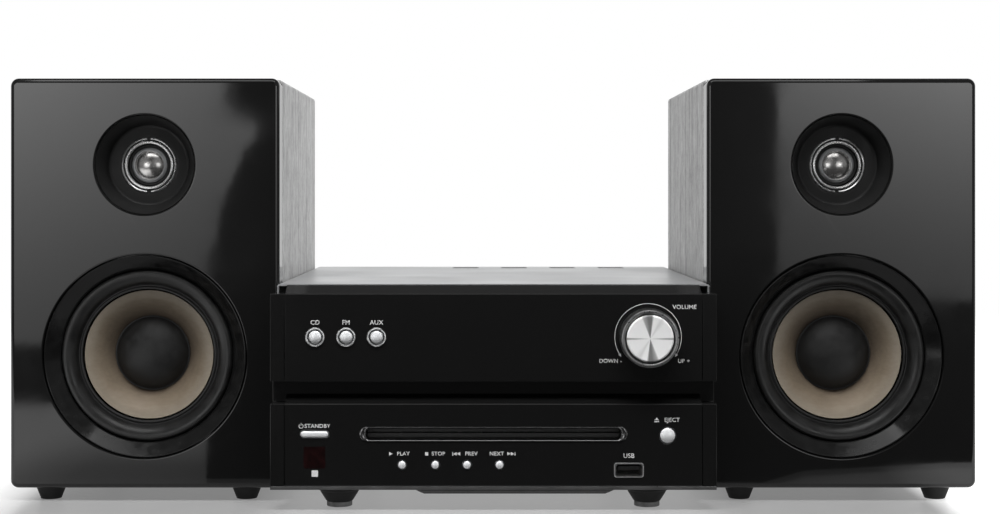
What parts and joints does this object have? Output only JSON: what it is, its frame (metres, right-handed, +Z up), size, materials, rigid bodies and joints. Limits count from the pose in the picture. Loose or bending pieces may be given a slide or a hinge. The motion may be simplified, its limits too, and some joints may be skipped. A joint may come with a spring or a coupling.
{
  "type": "mini hifi system",
  "caption": "Slim two-deck black main unit with slot-loading disc player, volume knob and buttons, between two glossy bookshelf speakers with tan woofers and metal dome tweeters.",
  "frame": {"origin": "middle of the footprint's bounding box, on the surface that the rubber feet stand on", "axes": "+Z up; the front faces -Y; +X is to the right of someone looking at the front"},
  "size_m": [0.5092, 0.245, 0.2231],
  "materials": {
    "gloss_fascia": "gloss black moulded plastic",
    "slot_trim": "dark chrome plated trim",
    "port_shell": "pressed steel",
    "circuit_board": "green solder mask",
    "silver_cover": "satin silver paint on sheet steel",
    "bare_steel": "zinc-plated sheet steel",
    "transformer_iron": "laminated iron, varnished",
    "black_rear_panel": "satin black paint on sheet steel",
    "heat_sink_aluminium": "extruded aluminium",
    "moulded_black": "fine matte black moulding",
    "silver_buttons": "silver plated plastic",
    "spun_knob": "spun aluminium face with a dark chrome ring",
    "roller_rubber": "soft black rubber",
    "foot_rubber": "matte black rubber",
    "baffle_lacquer": "fibreboard with polished black lacquer",
    "cabinet_vinyl": "fibreboard wrapped in grey wood-grain vinyl",
    "basket_steel": "satin black paint on pressed steel",
    "magnet_iron": "ferrite magnet with steel plates",
    "surround_rubber": "satin black rubber",
    "cone_paper": "tan coated paper",
    "cap_fabric": "matte black treated cloth",
    "tweeter_metal": "polished grey metal dome"
  },
  "bodies": {
    "main_unit": {"front_frame": "gloss_fascia", "upper_panel": "gloss_fascia", "lower_panel": "gloss_fascia", "slot_bezel": "slot_trim", "usb_port": "port_shell", "control_board": "circuit_board", "top_cover": "silver_cover", "chassis_tray": "bare_steel", "rear_panel": "black_rear_panel", "main_board": "circuit_board", "heat_sink": "heat_sink_aluminium", "transformer": "transformer_iron", "mains_inlet": "moulded_black", "socket_block": "moulded_black", "disc_frame": "bare_steel", "unit_foot_front_left": "foot_rubber", "unit_foot_front_right": "foot_rubber", "unit_foot_rear_left": "foot_rubber", "unit_foot_rear_right": "foot_rubber"},
    "cd_button": {"cd_button": "silver_buttons"},
    "fm_button": {"fm_button": "silver_buttons"},
    "aux_button": {"aux_button": "silver_buttons"},
    "standby_button": {"standby_button": "silver_buttons"},
    "play_button": {"play_button": "silver_buttons"},
    "stop_button": {"stop_button": "silver_buttons"},
    "previous_button": {"previous_button": "silver_buttons"},
    "next_button": {"next_button": "silver_buttons"},
    "eject_button": {"eject_button": "silver_buttons"},
    "volume_knob": {"volume_knob": "spun_knob"},
    "disc_roller": {"disc_roller": "roller_rubber"},
    "disc_turntable": {"disc_turntable": "moulded_black"},
    "laser_sled": {"laser_sled": "moulded_black"},
    "left_speaker": {"left_baffle": "baffle_lacquer", "left_cabinet": "cabinet_vinyl", "left_terminal_cup": "moulded_black", "left_woofer_basket": "basket_steel", "left_woofer_magnet": "magnet_iron", "left_woofer_surround": "surround_rubber", "left_tweeter_body": "moulded_black", "left_foot_front_left": "foot_rubber", "left_foot_front_right": "foot_rubber", "left_foot_rear_left": "foot_rubber", "left_foot_rear_right": "foot_rubber"},
    "left_woofer": {"left_woofer_cone": "cone_paper", "left_woofer_cap": "cap_fabric"},
    "left_tweeter": {"left_tweeter_dome": "tweeter_metal"},
    "right_speaker": {"right_baffle": "baffle_lacquer", "right_cabinet": "cabinet_vinyl", "right_terminal_cup": "moulded_black", "right_woofer_basket": "basket_steel", "right_woofer_magnet": "magnet_iron", "right_woofer_surround": "surround_rubber", "right_tweeter_body": "moulded_black", "right_foot_front_left": "foot_rubber", "right_foot_front_right": "foot_rubber", "right_foot_rear_left": "foot_rubber", "right_foot_rear_right": "foot_rubber"},
    "right_woofer": {"right_woofer_cone": "cone_paper", "right_woofer_cap": "cap_fabric"},
    "right_tweeter": {"right_tweeter_dome": "tweeter_metal"}
  },
  "joints": [
    {"name": "left_speaker_spacing", "type": "slide", "parent": "main_unit", "child": "left_speaker", "axis": [-1, 0, 0], "range_m": [0, 0.3]},
    {"name": "right_speaker_spacing", "type": "slide", "parent": "main_unit", "child": "right_speaker", "axis": [1, 0, 0], "range_m": [0, 0.3]},
    {"name": "left_woofer_travel", "type": "slide", "parent": "left_speaker", "child": "left_woofer", "axis": [0, -1, 0], "range_m": [-0.003, 0.003], "stiffness_N_per_m": 1250, "deforming": ["left_woofer_surround"]},
    {"name": "left_tweeter_travel", "type": "slide", "parent": "left_speaker", "child": "left_tweeter", "axis": [0, -1, 0], "range_m": [-0.0003, 0.0003], "stiffness_N_per_m": 1000},
    {"name": "right_woofer_travel", "type": "slide", "parent": "right_speaker", "child": "right_woofer", "axis": [0, -1, 0], "range_m": [-0.003, 0.003], "stiffness_N_per_m": 1250, "deforming": ["right_woofer_surround"]},
    {"name": "right_tweeter_travel", "type": "slide", "parent": "right_speaker", "child": "right_tweeter", "axis": [0, -1, 0], "range_m": [-0.0003, 0.0003], "stiffness_N_per_m": 1000},
    {"name": "cd_press", "type": "slide", "parent": "main_unit", "child": "cd_button", "axis": [0, 1, 0], "range_m": [0, 0.0008], "stiffness_N_per_m": 300},
    {"name": "fm_press", "type": "slide", "parent": "main_unit", "child": "fm_button", "axis": [0, 1, 0], "range_m": [0, 0.0008], "stiffness_N_per_m": 300},
    {"name": "aux_press", "type": "slide", "parent": "main_unit", "child": "aux_button", "axis": [0, 1, 0], "range_m": [0, 0.0008], "stiffness_N_per_m": 300},
    {"name": "standby_press", "type": "slide", "parent": "main_unit", "child": "standby_button", "axis": [0, 1, 0], "range_m": [0, 0.0008], "stiffness_N_per_m": 300},
    {"name": "play_press", "type": "slide", "parent": "main_unit", "child": "play_button", "axis": [0, 1, 0], "range_m": [0, 0.0008], "stiffness_N_per_m": 300},
    {"name": "stop_press", "type": "slide", "parent": "main_unit", "child": "stop_button", "axis": [0, 1, 0], "range_m": [0, 0.0008], "stiffness_N_per_m": 300},
    {"name": "previous_press", "type": "slide", "parent": "main_unit", "child": "previous_button", "axis": [0, 1, 0], "range_m": [0, 0.0008], "stiffness_N_per_m": 300},
    {"name": "next_press", "type": "slide", "parent": "main_unit", "child": "next_button", "axis": [0, 1, 0], "range_m": [0, 0.0008], "stiffness_N_per_m": 300},
    {"name": "eject_press", "type": "slide", "parent": "main_unit", "child": "eject_button", "axis": [0, 1, 0], "range_m": [0, 0.0008], "stiffness_N_per_m": 300},
    {"name": "volume_turn", "type": "hinge", "parent": "main_unit", "child": "volume_knob", "pos_m": [0.0789, -0.1165, 0.0891], "axis": [0, 1, 0], "continuous": true},
    {"name": "roller_spin", "type": "hinge", "parent": "main_unit", "child": "disc_roller", "pos_m": [0, -0.0835, 0.0324], "axis": [1, 0, 0], "continuous": true},
    {"name": "turntable_spin", "type": "hinge", "parent": "main_unit", "child": "disc_turntable", "pos_m": [0, -0.0185, 0.0355], "axis": [0, 0, 1], "continuous": true},
    {"name": "sled_travel", "type": "slide", "parent": "main_unit", "child": "laser_sled", "axis": [0, 1, 0], "range_m": [0, 0.034]}
  ]
}
